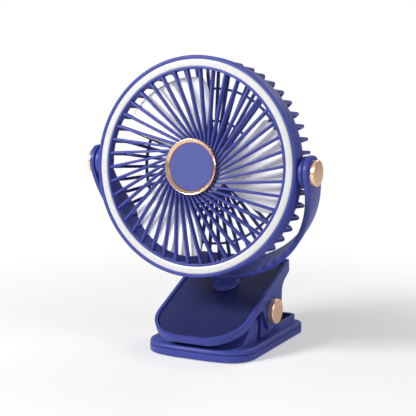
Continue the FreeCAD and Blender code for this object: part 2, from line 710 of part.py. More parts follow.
revolve(front, [
    ("0", "rim_front + front_dome - front_rib_depth - 1.6"),
    ("hub_ring_outer", "rim_front + front_dome - front_rib_depth - 1.6"),
    ("hub_ring_outer", "rim_front + front_dome - 1.6"),
    ("0", "rim_front + front_dome - 1.6"),
])

turned_piece("hub_ring", "head", [
    ("hub_ring_inner", "rim_front + front_dome - 1.6"),
    ("hub_ring_outer", "rim_front + front_dome - 1.6"),
    ("hub_ring_outer", "rim_front + front_dome + 1"),
    ("hub_ring_outer - 0.8", "rim_front + front_dome + 1.6"),
    ("hub_ring_inner", "rim_front + front_dome - 0.2"),
])
turned_piece("hub_disc", "head", [
    ("0", "rim_front + front_dome - 1.6"),
    ("hub_ring_inner - 0.1", "rim_front + front_dome - 1.6"),
    ("hub_ring_inner - 0.1", "rim_front + front_dome - 0.6"),
    ("hub_ring_inner - 0.6", "rim_front + front_dome - 0.2"),
    ("0", "rim_front + front_dome - 0.2"),
])

turned_piece("light_diffuser", "head", [
    ("light_inner + 0.05", "rim_front - 0.5 - light_thickness"),
    ("light_outer - 0.05", "rim_front - 0.5 - light_thickness"),
    ("light_outer - 0.05", "rim_front - 0.5"),
    ("light_inner + 0.05", "rim_front - 0.5"),
])
turned_piece("light_board", "head", [
    ("light_inner + 0.4", floor + " + 1.6"),
    ("light_outer - 0.4", floor + " + 1.6"),
    ("light_outer - 0.4", floor + " + 2.6"),
    ("light_inner + 0.4", floor + " + 2.6"),
])

# Rear basket: deep ribs that turn in over a round corner, two rings and the motor plate
basket = new_body("rear_grille", "head")
revolve(basket, [
    ("head_diameter / 2 - rim_wall", "rim_rear - 2.2"),
    ("head_diameter / 2 - 0.8", "rim_rear - 2.2"),
    ("head_diameter / 2 - 0.8", "rim_rear"),
    ("head_diameter / 2 - rim_wall", "rim_rear"),
])
rear_edge = "head_diameter / 2 - 0.9"
loop = pad(basket, "XZ", [
    (rear_edge, "rim_rear - 1"),
    (rear_edge + " - basket_taper", "basket_rear + basket_corner * 0.7"),
    (rear_edge + " - basket_taper - basket_corner * 0.2", "basket_rear + basket_corner * 0.2"),
    (rear_edge + " - basket_taper - basket_corner", "basket_rear - 0.2"),
    ("rear_hub - 1", "basket_rear - 2"),
    ("rear_hub - 1", "basket_rear - 2 + rear_rib_depth"),
    (rear_edge + " - basket_taper - rear_rib_depth", "basket_rear + rear_rib_depth"),
    (rear_edge + " - rear_rib_depth * 0.6", "rim_rear - 1"),
], "rear_rib_width", turn="rear_rib_phase", middle=True)
ring_pattern(basket, [loop], "rear_ribs")
for share in ("0.42", "0.72"):
    radius = "(head_diameter / 2) * " + share
    revolve(basket, [
        (radius + " - 0.9", "basket_rear - 0.6"),
        (radius + " + 0.9", "basket_rear - 0.6"),
        (radius + " + 0.9", "basket_rear + 1.6"),
        (radius + " - 0.9", "basket_rear + 1.6"),
    ])
revolve(basket, [
    ("0", "basket_rear - 2"),
    ("rear_hub", "basket_rear - 2"),
    ("rear_hub", "basket_rear - 2 + rear_rib_depth"),
    ("0", "basket_rear - 2 + rear_rib_depth"),
])

motor_rear = "basket_rear - 2 + rear_rib_depth"
turned_piece("motor_case", "head", [
    ("shaft_diameter / 2 + pin_fit", motor_rear),
    ("motor_diameter / 2", motor_rear),
    ("motor_diameter / 2", "motor_front - 1.5"),
    ("motor_diameter / 2 - 1.5", "motor_front"),
    ("shaft_diameter / 2 + pin_fit", "motor_front"),
])
turned_piece("motor_shaft", "head", [
    ("0", motor_rear + " + 0.3"),
    ("shaft_diameter / 2", motor_rear + " + 0.3"),
    ("shaft_diameter / 2", "motor_front + 7"),
    ("0", "motor_front + 7"),
])


def make_blade(turn):
    """One wide blade: a twisted sheet between the hub and the tip, given its thickness."""
    grid = []
    hub, tip = size("blade_hub") - 1.2, size("blade_radius")
    for row in range(4):
        share = row / 3.0
        radius = hub + (tip - hub) * share
        half = math.radians(size("blade_sweep") / 2) * (0.82 + 0.36 * share - 0.30 * share ** 4)
        line = []
        for column in range(5):
            part = column / 4.0 * 2 - 1
            angle = turn + half * part + math.radians(6) * share
            trimmed = radius - (tip - hub) * 0.05 * share * part ** 4
            rise = size("blade_rise") / 2 * part * (1.0 - 0.25 * share)
            camber = 1.6 * (1 - part * part)
            line.append(Vector(trimmed * math.cos(angle), trimmed * math.sin(angle), rise + camber))
        grid.append(line)
    sheet_face = Part.BSplineSurface()
    sheet_face.interpolate(grid)
    return sheet_face.toShape().makeOffsetShape(size("blade_thickness"), 0.01, fill=True)


def make_impeller():
    middle = size("motor_front") + size("blade_rise") / 2 + 1.0
    hub = Part.makeCylinder(size("blade_hub"), size("blade_rise") + 2.0, Vector(0, 0, -size("blade_rise") / 2 - 0.5))
    solid = hub
    for index in range(int(size("blade_count"))):
        turn = math.radians(size("blade_phase") + 360.0 / size("blade_count") * index)
        solid = solid.fuse(make_blade(turn))
    solid = solid.removeSplitter()
    solid.translate(Vector(0, 0, middle))
    hole = Part.makeCylinder(size("shaft_diameter") / 2, 7.0, Vector(0, 0, size("motor_front")))
    return solid.cut(hole)


shape_piece("impeller", "head", make_impeller())



def make_spring():
    """The clamp's torsion spring: close turns round the pin, one leg up to the jaw's roof and one down."""
    wire, turns, half = size("spring_wire"), size("spring_turns"), size("spring_half_length")
    radius = size("pin_diameter") / 2 + size("pin_fit") + wire / 2
    steps = int(turns) * 8
    points = []
    for step in range(steps + 1):
        angle = -2 * math.pi * turns * step / steps
        points.append(Vector(-half + 2 * half * step / steps, radius * math.cos(angle), radius * math.sin(angle)))
    turns_path = [Part.Arc(*points[step:step + 3]).toShape() for step in range(0, steps, 2)]
    start = turns_path[0].tangentAt(turns_path[0].FirstParameter)
    finish = turns_path[-1].tangentAt(turns_path[-1].LastParameter)
    roof = size("panel_distance") + size("panel_inset") + size("panel_thickness") + size("jaw_wall")
    lean = math.radians(size("lean"))
    along = size("pin_y") + radius - size("head_y")
    up = size("head_height") - size("pin_height") - (roof - along * math.sin(lean)) / math.cos(lean) - wire / 2
    down = size("pin_height") - size("base_top") - wire / 10
    first = points[0] + start * (up / start.z)
    last = points[-1] + finish * (-down / finish.z)
    path = Part.Wire([Part.LineSegment(first, points[0]).toShape()] + turns_path
                     + [Part.LineSegment(points[-1], last).toShape()])
    side = Vector(1, 0, 0)
    other = start.cross(side).normalize()
    corners = [first + (start.cross(other) * math.cos(turn) + other * math.sin(turn)) * (wire / 2)
               for turn in [math.pi / 3 * corner for corner in range(6)]]
    ring = Part.makePolygon(corners + corners[:1])
    gap = 2 * half / turns - wire
    print("spring gap between turns", round(gap, 2))
    return path.makePipeShell([ring], True, False)


shape_piece("clamp_spring", "pin", make_spring())

doc.recompute()
for item in doc.Objects:
    if "Invalid" in item.State or "Error" in item.State:
        raise RuntimeError("%s did not build" % item.Label)
for item in SUBPARTS:
    if item.Shape.isNull() or not item.Shape.isValid():
        raise RuntimeError("%s has no valid shape" % item.Label)
os.makedirs("parts", exist_ok=True)
for item in SUBPARTS:
    item.Shape.exportStep("parts/%s.step" % item.Label)
    print(item.Label, len(item.Shape.Solids), round(item.Shape.Volume, 1))
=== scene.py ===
import math

import bmesh
import bpy
from bpy.props import FloatProperty, FloatVectorProperty, IntProperty, PointerProperty
from mathutils import Matrix, Vector


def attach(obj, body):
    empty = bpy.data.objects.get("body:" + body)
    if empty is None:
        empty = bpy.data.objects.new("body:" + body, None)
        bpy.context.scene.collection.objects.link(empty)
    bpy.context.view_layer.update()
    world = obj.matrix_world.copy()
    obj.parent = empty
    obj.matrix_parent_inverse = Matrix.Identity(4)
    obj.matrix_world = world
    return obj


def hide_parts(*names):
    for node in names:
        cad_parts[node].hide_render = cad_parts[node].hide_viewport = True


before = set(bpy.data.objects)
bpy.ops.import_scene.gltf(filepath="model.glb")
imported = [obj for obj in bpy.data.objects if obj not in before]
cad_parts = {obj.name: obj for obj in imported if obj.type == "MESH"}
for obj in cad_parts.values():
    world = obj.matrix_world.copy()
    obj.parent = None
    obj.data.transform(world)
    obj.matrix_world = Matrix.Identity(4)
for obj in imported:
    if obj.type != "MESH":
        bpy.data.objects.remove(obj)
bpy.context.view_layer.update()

bl_info = {
    "name": "Clip-on Fan Finish",
    "version": (1, 0, 0),
    "blender": (4, 5, 0),
    "location": "3D View > Sidebar > Fan",
    "description": "Builds the finished surfaces of a clip-on fan with a ring light round its packed frame",
    "category": "Object",
}

MM = 0.001

# The fan axis, the swivel axis and the clamp pin, as the CAD has them
HEAD_TILT = math.radians(5.3)
LEAN = math.radians(24.0)
PIVOT = Vector((0.0, -0.0405, 0.141))
PIN = Vector((0.0, 0.004, 0.028))
HEAD = Matrix.Translation(PIVOT) @ Matrix.Rotation(math.pi / 2 - HEAD_TILT, 4, "X")
SWIVEL = Matrix.Translation(PIVOT) @ Matrix.Rotation(LEAN, 4, "X")
RIGHT_AXLE = Matrix.Rotation(math.pi / 2, 4, "Y")
LEFT_AXLE = Matrix.Rotation(-math.pi / 2, 4, "Y")


# ---------------------------------------------------------------- sizes and colours

class FanSizes(bpy.types.PropertyGroup):
    """Sizes of the fan's finished pieces"""
    rib_count: IntProperty(
        name="Front ribs", description="Swirled ribs of the front grille",
        default=42, min=3)
    rib_width: FloatProperty(
        name="Front rib width", description="Width of one swirled rib",
        default=2.1 * MM, unit="LENGTH", subtype="DISTANCE")
    rib_depth: FloatProperty(
        name="Front rib depth", description="Depth of one swirled rib",
        default=4.6 * MM, unit="LENGTH", subtype="DISTANCE")
    rib_offset: FloatProperty(
        name="Swirl radius", description="Circle that every front rib is tangent to",
        default=12.3 * MM, unit="LENGTH", subtype="DISTANCE")
    rib_phase: FloatProperty(
        name="Front rib phase", description="Turn of the first front rib",
        default=math.radians(13.2), subtype="ANGLE")
    loop_count: IntProperty(
        name="Rear ribs", description="Ribs of the rear basket",
        default=50, min=3)
    loop_width: FloatProperty(
        name="Rear rib width", description="Width of one basket rib",
        default=2.5 * MM, unit="LENGTH", subtype="DISTANCE")
    loop_phase: FloatProperty(
        name="Rear rib phase", description="Turn of the first basket rib",
        default=math.radians(10.3), subtype="ANGLE")
    blade_count: IntProperty(
        name="Blades", description="Blades of the impeller",
        default=3, min=2)
    blade_thickness: FloatProperty(
        name="Blade thickness", description="Thickness of a blade",
        default=1.3 * MM, unit="LENGTH", subtype="DISTANCE")
    edge_round: FloatProperty(
        name="Moulded edge", description="Rounding of the moulded parts' edges",
        default=0.55 * MM, unit="LENGTH", subtype="DISTANCE")
    screw_radius: FloatProperty(
        name="Screw head", description="Radius of a small screw's head",
        default=2.1 * MM, unit="LENGTH", subtype="DISTANCE")


class FanColours(bpy.types.PropertyGroup):
    """Colours of the fan's finishes"""
    shell: FloatVectorProperty(
        name="Shell", description="Moulded blue of the shell",
        subtype="COLOR", size=3, default=(0.046, 0.058, 0.285))
    panel: FloatVectorProperty(
        name="Panel", description="Deep blue of the jaw's sunk panel",
        subtype="COLOR", size=3, default=(0.018, 0.022, 0.092))
    hub: FloatVectorProperty(
        name="Hub", description="Blue of the hub disc",
        subtype="COLOR", size=3, default=(0.074, 0.088, 0.30))
    blade: FloatVectorProperty(
        name="Blades", description="Pale plastic of the blades",
        subtype="COLOR", size=3, default=(0.93, 0.92, 0.94))
    ring_light: FloatVectorProperty(
        name="Ring light", description="Opal ring over the lamps",
        subtype="COLOR", size=3, default=(0.41, 0.41, 0.41))
    gilt: FloatVectorProperty(
        name="Gilt", description="Rose gilt of the rings and caps",
        subtype="COLOR", size=3, default=(0.96, 0.63, 0.41))
    steel: FloatVectorProperty(
        name="Steel", description="Bright steel of pins and bolts",
        subtype="COLOR", size=3, default=(0.60, 0.60, 0.62))
    rubber: FloatVectorProperty(
        name="Rubber", description="Black rubber of the grips and feet",
        subtype="COLOR", size=3, default=(0.022, 0.022, 0.025))
    board: FloatVectorProperty(
        name="Board", description="Green of the circuit boards",
        subtype="COLOR", size=3, default=(0.015, 0.13, 0.05))
    wrap: FloatVectorProperty(
        name="Cell wrap", description="Shrink wrap of the cells",
        subtype="COLOR", size=3, default=(0.03, 0.22, 0.13))


# ---------------------------------------------------------------- node materials

def node(tree, kind, **settings):
    """Add a node, set its properties and its inputs by name, and return it."""
    item = tree.nodes.new(kind)
    for name, value in settings.items():
        if name in item.inputs:
            item.inputs[name].default_value = value
        else:
            setattr(item, name, value)
    return item


def own_coordinates(tree, place=None):
    """Object coordinates, or those of a piece's own axis where a pattern turns round it."""
    where = node(tree, "ShaderNodeTexCoord")
    if place is None:
        return where.outputs["Object"]
    mapping = node(tree, "ShaderNodeMapping", vector_type="TEXTURE")
    mapping.inputs["Location"].default_value = place.to_translation()
    mapping.inputs["Rotation"].default_value = place.to_euler()
    tree.links.new(where.outputs["Object"], mapping.inputs["Vector"])
    return mapping.outputs["Vector"]


def blank_material(name, colour, roughness, metallic=0.0):
    """A material with one shader whose even values sit on its own sockets."""
    material = bpy.data.materials.new(name)
    material.use_nodes = True
    tree = material.node_tree
    shader = tree.nodes["Principled BSDF"]
    shader.inputs["Base Color"].default_value = (*colour, 1.0)
    shader.inputs["Roughness"].default_value = roughness
    shader.inputs["Metallic"].default_value = metallic
    return material, tree, shader


def vary(tree, shader, source, colour, lighter, darker, roughness, spread):
    """Let a slow pattern shift the colour and the roughness a little."""
    tint = node(tree, "ShaderNodeValToRGB")
    tint.color_ramp.elements[0].position = 0.3
    tint.color_ramp.elements[1].position = 0.7
    tint.color_ramp.elements[0].color = (*[channel * darker for channel in colour], 1.0)
    tint.color_ramp.elements[1].color = (*[min(1.0, channel * lighter) for channel in colour], 1.0)
    tree.links.new(source, tint.inputs["Fac"])
    tree.links.new(tint.outputs["Color"], shader.inputs["Base Color"])
    span = node(tree, "ShaderNodeMapRange")
    span.inputs["To Min"].default_value = roughness - spread
    span.inputs["To Max"].default_value = roughness + spread
    tree.links.new(source, span.inputs["Value"])
    tree.links.new(span.outputs["Result"], shader.inputs["Roughness"])


def moulded_plastic(name, colour, roughness, grain):
    """Satin moulded plastic: a fine spark-eroded grain, faint flow marks and a slow shift of tone."""
    material, tree, shader = blank_material(name, colour, roughness)
    shader.inputs["IOR"].default_value = 1.49
    shader.inputs["Specular IOR Level"].default_value = 0.22
    place = own_coordinates(tree)
    slow = node(tree, "ShaderNodeTexNoise", Scale=26.0, Detail=3.0, Roughness=0.55)
    tree.links.new(place, slow.inputs["Vector"])
    vary(tree, shader, slow.outputs["Fac"], colour, 1.06, 0.94, roughness, 0.05)
    fine = node(tree, "ShaderNodeTexNoise", Scale=2600.0, Detail=2.0, Roughness=0.6)
    tree.links.new(place, fine.inputs["Vector"])
    bump = node(tree, "ShaderNodeBump", Strength=grain, Distance=0.0002)
    tree.links.new(fine.outputs["Fac"], bump.inputs["Height"])
    tree.links.new(bump.outputs["Normal"], shader.inputs["Normal"])
    return material


def spun_metal(name, colour, roughness, place, rings=9000.0, metallic=1.0, strength=0.12):
    """Metal or lacquer turned on a lathe: fine rings round the piece's own axis."""
    material, tree, shader = blank_material(name, colour, roughness, metallic)
    own = own_coordinates(tree, place)
    split = node(tree, "ShaderNodeSeparateXYZ")
    tree.links.new(own, split.inputs["Vector"])
    flat = node(tree, "ShaderNodeCombineXYZ")
    tree.links.new(split.outputs["X"], flat.inputs["X"])
    tree.links.new(split.outputs["Y"], flat.inputs["Y"])
    radius = node(tree, "ShaderNodeVectorMath", operation="LENGTH")
    tree.links.new(flat.outputs["Vector"], radius.inputs[0])
    turned = node(tree, "ShaderNodeTexNoise", noise_dimensions="1D", Scale=rings, Detail=2.0)
    tree.links.new(radius.outputs["Value"], turned.inputs["W"])
    vary(tree, shader, turned.outputs["Fac"], colour, 1.05, 0.93, roughness, 0.06)
    bump = node(tree, "ShaderNodeBump", Strength=strength, Distance=0.00008)
    tree.links.new(turned.outputs["Fac"], bump.inputs["Height"])
    tree.links.new(bump.outputs["Normal"], shader.inputs["Normal"])
    return material


def drawn_steel(name, colour, roughness=0.3):
    """Drawn or pressed steel: scuffs of two sizes."""
    material, tree, shader = blank_material(name, colour, roughness, 1.0)
    place = own_coordinates(tree)
    scuffs = node(tree, "ShaderNodeTexNoise", Scale=900.0, Detail=4.0, Roughness=0.7)
    tree.links.new(place, scuffs.inputs["Vector"])
    vary(tree, shader, scuffs.outputs["Fac"], colour, 1.08, 0.86, roughness, 0.1)
    bump = node(tree, "ShaderNodeBump", Strength=0.06, Distance=0.0001)
    tree.links.new(scuffs.outputs["Fac"], bump.inputs["Height"])
    tree.links.new(bump.outputs["Normal"], shader.inputs["Normal"])
    return material


def pale_blade_painted_glow(name, colour):
    """Thin pale plastic that lets a little light through, with a painted glow from its emission that stands
    in for light from behind.
    """
    material, tree, shader = blank_material(name, colour, 0.45)
    shader.inputs["Subsurface Weight"].default_value = 0.6
    shader.inputs["Subsurface Radius"].default_value = (0.005, 0.005, 0.005)
    # Painted glow: this emission on the blades stands in for backlight, though the blades are not a lamp.
    shader.inputs["Emission Color"].default_value = (*colour, 1.0)
    shader.inputs["Emission Strength"].default_value = 0.14
    place = own_coordinates(tree)
    flow = node(tree, "ShaderNodeTexNoise", Scale=60.0, Detail=3.0, Distortion=0.6)
    tree.links.new(place, flow.inputs["Vector"])
    vary(tree, shader, flow.outputs["Fac"], colour, 1.03, 0.96, 0.45, 0.05)
    fine = node(tree, "ShaderNodeTexNoise", Scale=1800.0, Detail=2.0)
    tree.links.new(place, fine.inputs["Vector"])
    bump = node(tree, "ShaderNodeBump", Strength=0.03, Distance=0.0002)
    tree.links.new(fine.outputs["Fac"], bump.inputs["Height"])
    tree.links.new(bump.outputs["Normal"], shader.inputs["Normal"])
    return material


def opal_ring(name, colour):
    """Milky diffuser plastic with a faint cloud in it."""
    material, tree, shader = blank_material(name, colour, 0.28)
    shader.inputs["Subsurface Weight"].default_value = 0.4
    shader.inputs["Subsurface Radius"].default_value = (0.003, 0.003, 0.003)
    shader.inputs["Emission Color"].default_value = (1.0, 1.0, 1.0, 1.0)
    shader.inputs["Emission Strength"].default_value = 0.26
    place = own_coordinates(tree)
    cloud = node(tree, "ShaderNodeTexNoise", Scale=140.0, Detail=4.0)
    tree.links.new(place, cloud.inputs["Vector"])
    vary(tree, shader, cloud.outputs["Fac"], colour, 1.02, 0.97, 0.28, 0.04)
    fine = node(tree, "ShaderNodeTexNoise", Scale=2400.0, Detail=2.0)
    tree.links.new(place, fine.inputs["Vector"])
    bump = node(tree, "ShaderNodeBump", Strength=0.03, Distance=0.0002)
    tree.links.new(fine.outputs["Fac"], bump.inputs["Height"])
    tree.links.new(bump.outputs["Normal"], shader.inputs["Normal"])
    return material


def matt_rubber(name, colour):
    """Moulded rubber: matt, with a pebbled skin and a bloom on it."""
    material, tree, shader = blank_material(name, colour, 0.72)
    place = own_coordinates(tree)
    bloom = node(tree, "ShaderNodeTexNoise", Scale=90.0, Detail=5.0)
    tree.links.new(place, bloom.inputs["Vector"])
    vary(tree, shader, bloom.outputs["Fac"], colour, 1.5, 0.8, 0.72, 0.08)
    pebbles = node(tree, "ShaderNodeTexVoronoi", Scale=1400.0)
    tree.links.new(place, pebbles.inputs["Vector"])
    bump = node(tree, "ShaderNodeBump", Strength=0.25, Distance=0.0002)
    tree.links.new(pebbles.outputs["Distance"], bump.inputs["Height"])
    tree.links.new(bump.outputs["Normal"], shader.inputs["Normal"])
    return material


def circuit_board(name, colour, track):
    """Board lacquer with tracks that show through it."""
    material, tree, shader = blank_material(name, colour, 0.34)
    place = own_coordinates(tree)
    tracks = node(tree, "ShaderNodeTexBrick", Scale=260.0)
    tracks.inputs["Color1"].default_value = (*colour, 1.0)
    tracks.inputs["Color2"].default_value = (*[channel * 1.25 for channel in colour], 1.0)
    tracks.inputs["Mortar"].default_value = (*track, 1.0)
    tracks.inputs["Mortar Size"].default_value = 0.03
    tree.links.new(place, tracks.inputs["Vector"])
    tree.links.new(tracks.outputs["Color"], shader.inputs["Base Color"])
    bump = node(tree, "ShaderNodeBump", Strength=0.2, Distance=0.0001)
    tree.links.new(tracks.outputs["Fac"], bump.inputs["Height"])
    tree.links.new(bump.outputs["Normal"], shader.inputs["Normal"])
    return material


FINISHES = {}


def finish_of(name, maker, *values, **options):
    """Each finish is made once and shared."""
    if name not in FINISHES:
        FINISHES[name] = maker(name, *values, **options)
    return FINISHES[name]


def shell_finish(colours):
    return finish_of("shell_plastic", moulded_plastic, tuple(colours.shell), 0.38, 0.03)


def panel_finish(colours):
    return finish_of("panel_plastic", moulded_plastic, tuple(colours.panel), 0.42, 0.08)


def steel_finish(colours):
    return finish_of("bright_steel", drawn_steel, tuple(colours.steel))


# ---------------------------------------------------------------- mesh helpers

def new_piece(name, verts, faces, place=None):
    """A piece with its place in its mesh, doubles merged and faces pointing outwards."""
    mesh = bpy.data.meshes.new(name)
    spots = [place @ Vector(spot) for spot in verts] if place is not None else verts
    mesh.from_pydata([tuple(spot) for spot in spots], [], faces)
    obj = bpy.data.objects.new(name, mesh)
    bpy.context.scene.collection.objects.link(obj)
    tidy_mesh(mesh)
    smooth(obj, 35.0)
    return obj


def tidy_mesh(mesh, distance=1e-6):
    work = bmesh.new()
    work.from_mesh(mesh)
    bmesh.ops.remove_doubles(work, verts=work.verts, dist=distance)
    bmesh.ops.recalc_face_normals(work, faces=work.faces)
    work.to_mesh(mesh)
    work.free()


def smooth(obj, angle):
    """Smooth shading with sharp edges past an angle."""
    work = bmesh.new()
    work.from_mesh(obj.data)
    limit = math.radians(angle)
    for face in work.faces:
        face.smooth = True
    for edge in work.edges:
        edge.smooth = not (len(edge.link_faces) == 2 and edge.calc_face_angle(0.0) > limit)
    work.to_mesh(obj.data)
    work.free()


def rounded(points, radius, steps=4):
    """Round every corner of a closed profile, as far as its sides allow."""
    result = []
    count = len(points)
    for index in range(count):
        here = Vector(points[index])
        back = Vector(points[index - 1]) - here
        ahead = Vector(points[(index + 1) % count]) - here
        angle = back.angle(ahead)
        if here.x < 1e-6 or angle > math.radians(165) or angle < math.radians(8):
            result.append(here)
            continue
        reach = min(radius / math.tan(angle / 2), back.length * 0.48, ahead.length * 0.48)
        bend = reach * math.tan(angle / 2)
        centre = here + (back.normalized() + ahead.normalized()).normalized() * (bend / math.sin(angle / 2))
        first = here + back.normalized() * reach - centre
        last = here + ahead.normalized() * reach - centre
        for step in range(steps + 1):
            result.append(centre + first.normalized().slerp(last.normalized(), step / steps) * bend)
    return result


def turned(name, profile, place, segments):
    """Turn a closed (radius, height) profile, in millimetres, round the place's Z axis."""
    verts, faces = [], []
    count = len(profile)
    for segment in range(segments):
        angle = 2 * math.pi * segment / segments
        for radius, height in profile:
            verts.append((radius * MM * math.cos(angle), radius * MM * math.sin(angle), height * MM))
    for segment in range(segments):
        ahead = (segment + 1) % segments
        for index in range(count):
            other = (index + 1) % count
            faces.append((segment * count + index, ahead * count + index, ahead * count + other,
                          segment * count + other))
    obj = new_piece(name, verts, faces, place)
    drop_flat_faces(obj.data)
    return obj


def drop_flat_faces(mesh):
    """Take out the faces that close to nothing on the axis."""
    work = bmesh.new()
    work.from_mesh(mesh)
    thin = [face for face in work.faces if face.calc_area() < 1e-14]
    bmesh.ops.delete(work, geom=thin, context="FACES_ONLY")
    bmesh.ops.delete(work, geom=[vert for vert in work.verts if not vert.link_faces], context="VERTS")
    work.to_mesh(mesh)
    work.free()


def swept(stations):
    """Verts and faces of a tube with capped ends through stations, each a ring of points."""
    verts = [spot for ring in stations for spot in ring]
    count = len(stations[0])
    faces = []
    last = len(stations) - 1
    for row in range(last):
        ahead = row + 1
        for index in range(count):
            other = (index + 1) % count
            faces.append((row * count + index, row * count + other, ahead * count + other,
                          ahead * count + index))
    faces.append(tuple(range(count)))
    faces.append(tuple(last * count + index for index in reversed(range(count))))
    return verts, faces


def join(name, pieces):
    """One piece from several."""
    work = bmesh.new()
    for piece in pieces:
        work.from_mesh(piece.data)
    mesh = bpy.data.meshes.new(name)
    work.to_mesh(mesh)
    work.free()
    for piece in pieces:
        bpy.data.objects.remove(piece)
    obj = bpy.data.objects.new(name, mesh)
    bpy.context.scene.collection.objects.link(obj)
    return obj


def applied(obj):
    """Bake the modifiers into a plain mesh."""
    graph = bpy.context.evaluated_depsgraph_get()
    mesh = bpy.data.meshes.new_from_object(obj.evaluated_get(graph))
    obj.modifiers.clear()
    obj.data = mesh
    return obj


def refined(name, source, width):
    """A copy of a CAD piece with its flat faces joined and its edges rounded."""
    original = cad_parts[source]
    mesh = original.data.copy()
    mesh.name = name
    mesh.materials.clear()
    obj = bpy.data.objects.new(name, mesh)
    bpy.context.scene.collection.objects.link(obj)
    work = bmesh.new()
    work.from_mesh(mesh)
    bmesh.ops.remove_doubles(work, verts=work.verts, dist=2e-6)
    bmesh.ops.recalc_face_normals(work, faces=work.faces)
    bmesh.ops.dissolve_limit(work, angle_limit=math.radians(1.0), verts=work.verts, edges=work.edges)
    work.to_mesh(mesh)
    work.free()
    bevel = obj.modifiers.new("edge", "BEVEL")
    bevel.width = width
    bevel.segments = 3
    bevel.limit_method = "ANGLE"
    bevel.angle_limit = math.radians(28.0)
    bevel.use_clamp_overlap = True
    applied(obj)
    smooth(obj, 32.0)
    return obj


def dress(obj, body, slot, material, *replaced):
    """Give a finished piece its material, its body and the CAD pieces it stands for; the slot argument is not
    used.
    """
    obj.data.materials.clear()
    obj.data.materials.append(material)
    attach(obj, body)
    if replaced:
        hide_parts(*replaced)


def dress_node(name, material):
    """Give a CAD piece that stays a better material."""
    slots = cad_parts[name].material_slots
    if not slots:
        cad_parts[name].data.materials.append(material)
    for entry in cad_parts[name].material_slots:
        entry.material = material


# ---------------------------------------------------------------- repeats by Geometry Nodes

def ring_tree(name, material):
    """A node group that repeats its input round the Z axis of the piece's own place."""
    tree = bpy.data.node_groups.new(name, "GeometryNodeTree")
    face = tree.interface
    face.new_socket("Geometry", in_out="INPUT", socket_type="NodeSocketGeometry")
    face.new_socket("Count", in_out="INPUT", socket_type="NodeSocketInt")
    face.new_socket("Start Angle", in_out="INPUT", socket_type="NodeSocketFloat")
    face.new_socket("Geometry", in_out="OUTPUT", socket_type="NodeSocketGeometry")
    source = tree.nodes.new("NodeGroupInput")
    target = tree.nodes.new("NodeGroupOutput")
    spots = tree.nodes.new("GeometryNodePoints")
    tree.links.new(source.outputs["Count"], spots.inputs["Count"])
    index = tree.nodes.new("GeometryNodeInputIndex")
    share = node(tree, "ShaderNodeMath", operation="DIVIDE")
    tree.links.new(index.outputs[0], share.inputs[0])
    tree.links.new(source.outputs["Count"], share.inputs[1])
    turn = node(tree, "ShaderNodeMath", operation="MULTIPLY_ADD")
    turn.inputs[1].default_value = 2 * math.pi
    tree.links.new(share.outputs[0], turn.inputs[0])
    tree.links.new(source.outputs["Start Angle"], turn.inputs[2])
    angles = tree.nodes.new("ShaderNodeCombineXYZ")
    tree.links.new(turn.outputs[0], angles.inputs["Z"])
    copies = tree.nodes.new("GeometryNodeInstanceOnPoints")
    tree.links.new(spots.outputs[0], copies.inputs["Points"])
    tree.links.new(source.outputs["Geometry"], copies.inputs["Instance"])
    tree.links.new(angles.outputs[0], copies.inputs["Rotation"])
    real = tree.nodes.new("GeometryNodeRealizeInstances")
    tree.links.new(copies.outputs[0], real.inputs[0])
    paint = tree.nodes.new("GeometryNodeSetMaterial")
    paint.inputs["Material"].default_value = material
    tree.links.new(real.outputs[0], paint.inputs["Geometry"])
    tree.links.new(paint.outputs[0], target.inputs[0])
    return tree


def repeated(obj, place, count, start, material):
    """Repeat a piece, drawn in its own frame, round that frame's axis, then put it in place."""
    tree = ring_tree(obj.name + "_ring", material)
    modifier = obj.modifiers.new("ring", "NODES")
    modifier.node_group = tree
    for item in tree.interface.items_tree:
        if item.in_out == "INPUT" and item.name == "Count":
            modifier[item.identifier] = count
        if item.in_out == "INPUT" and item.name == "Start Angle":
            modifier[item.identifier] = start
    applied(obj)
    obj.data.transform(place)
    smooth(obj, 40.0)
    return obj


# ---------------------------------------------------------------- the fan's pieces

RIB_START, RIB_END = 12.6, 70.2
DOME_START, DOME_END = 12.4, 69.8


def front_height(along):
    """Front edge of a swirled rib, in millimetres, which domes from the rim to the hub."""
    share = (along - DOME_START) / (DOME_END - DOME_START)
    return 14.5 - 0.4 * share - 2.1 * share * share


def build_front_rib(width, depth, offset):
    """One swirled rib along +X, tangent to the swirl circle, with a round front edge."""
    stations = []
    reach, tall = width * 0.5, depth
    for step in range(19):
        share = step / 18
        along = RIB_START + (RIB_END - RIB_START) * share
        half = reach * (0.78 + 0.30 * share)
        top = front_height(along) * MM
        ring = []
        for corner in range(7):
            angle = math.pi * corner / 6
            ring.append((along * MM, -offset + half * math.cos(angle), top - half + half * math.sin(angle)))
        low = top - tall
        ring += [(along * MM, -offset - half * 0.8, low + 0.0004), (along * MM, -offset - half * 0.45, low),
                 (along * MM, -offset + half * 0.45, low), (along * MM, -offset + half * 0.8, low + 0.0004)]
        stations.append(ring)
    return swept(stations)


def bezel_profile():
    return rounded([(70.3, 6.0), (80.0, 6.0), (80.0, 12.2), (79.2, 13.0), (77.5, 13.0), (77.5, 7.6),
                    (72.0, 7.6), (72.0, 12.7), (70.3, 12.7)], 0.45)


